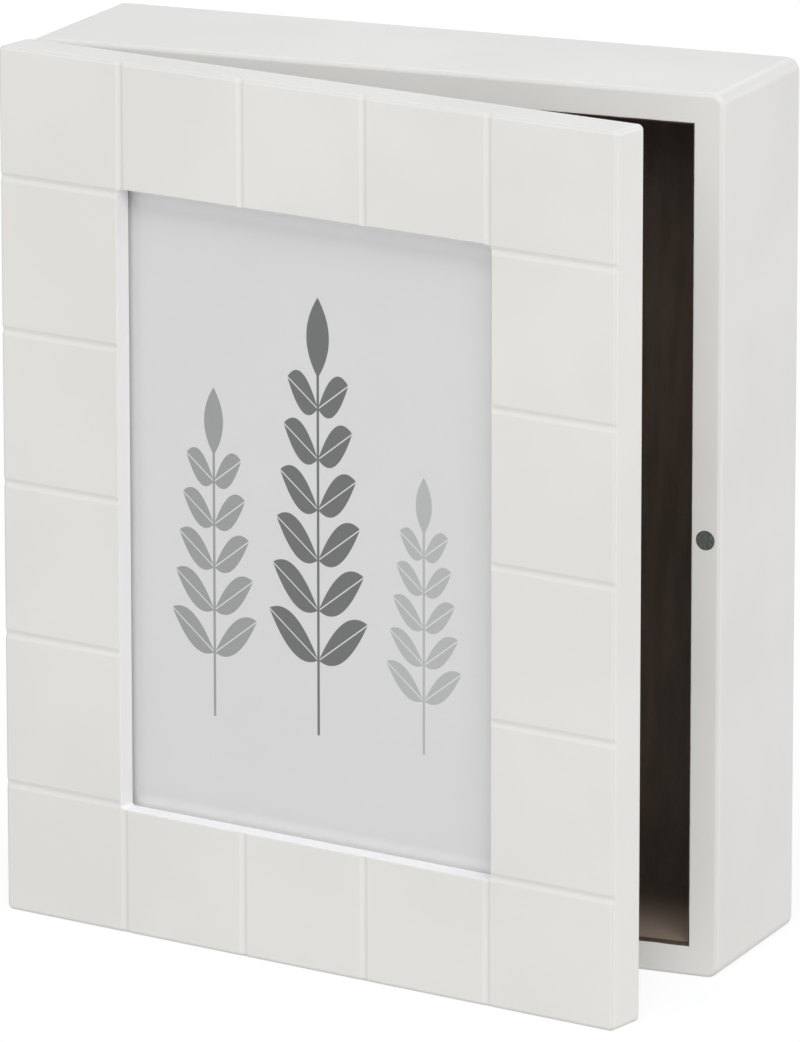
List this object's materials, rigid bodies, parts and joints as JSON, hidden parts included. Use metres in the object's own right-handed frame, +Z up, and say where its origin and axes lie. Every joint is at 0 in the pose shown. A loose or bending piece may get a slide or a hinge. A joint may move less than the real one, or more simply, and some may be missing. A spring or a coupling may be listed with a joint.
{
  "type": "wall key box",
  "caption": "Shallow wall key box: white case with a picture-frame door hinged on its left edge, grooved like tiles, hooks on rails inside, and a magnet catch.",
  "frame": {"origin": "middle of the back face, on the wall", "axes": "+X to the right, +Y into the wall, +Z up"},
  "size_m": [0.2084, 0.1132, 0.2446],
  "materials": {
    "white_paint": "satin white paint on fibreboard",
    "dark_paint": "matt dark brown stain",
    "birch": "bare",
    "steel": "satin nickel plate",
    "brass": "satin",
    "glass": "clear",
    "picture_card": "matt print",
    "hardboard": "bare hardboard"
  },
  "bodies": {
    "case": {"top_board": "white_paint", "bottom_board": "white_paint", "left_board": "white_paint", "right_board": "white_paint", "back_panel": "dark_paint", "corner_dowels": "birch", "panel_pins": "steel", "upper_hook_rail": "dark_paint", "lower_hook_rail": "dark_paint", "upper_hooks": "steel", "lower_hooks": "steel", "rail_screws": "steel", "case_magnet": "steel", "upper_case_leaf": "brass", "lower_case_leaf": "brass", "upper_hinge_pin": "brass", "lower_hinge_pin": "brass", "case_leaf_screws": "brass"},
    "door": {"door_frame": "white_paint", "glass_pane": "glass", "picture_insert": "picture_card", "backing_board": "hardboard", "door_magnet": "steel", "upper_door_leaf": "brass", "lower_door_leaf": "brass", "door_leaf_screws": "brass", "button_screws": "steel"},
    "upper_left_button": {"upper_left_button": "steel"},
    "upper_right_button": {"upper_right_button": "steel"},
    "lower_left_button": {"lower_left_button": "steel"},
    "lower_right_button": {"lower_right_button": "steel"}
  },
  "joints": [
    {"name": "door_swing", "type": "hinge", "parent": "case", "child": "door", "pos_m": [-0.1044, -0.0568, 0], "axis": [0, 0, -1], "range_deg": [-12.2, 157.8]},
    {"name": "upper_left_button_turn", "type": "hinge", "parent": "door", "child": "upper_left_button", "pos_m": [-0.07328, -0.06383, 0.055], "axis": [0.2113, 0.9774, 0], "range_deg": [0, 90]},
    {"name": "upper_right_button_turn", "type": "hinge", "parent": "door", "child": "upper_right_button", "pos_m": [0.06844, -0.09448, 0.055], "axis": [0.2113, 0.9774, 0], "range_deg": [0, 90]},
    {"name": "lower_left_button_turn", "type": "hinge", "parent": "door", "child": "lower_left_button", "pos_m": [-0.07328, -0.06383, -0.055], "axis": [0.2113, 0.9774, 0], "range_deg": [0, 90]},
    {"name": "lower_right_button_turn", "type": "hinge", "parent": "door", "child": "lower_right_button", "pos_m": [0.06844, -0.09448, -0.055], "axis": [0.2113, 0.9774, 0], "range_deg": [0, 90]}
  ]
}
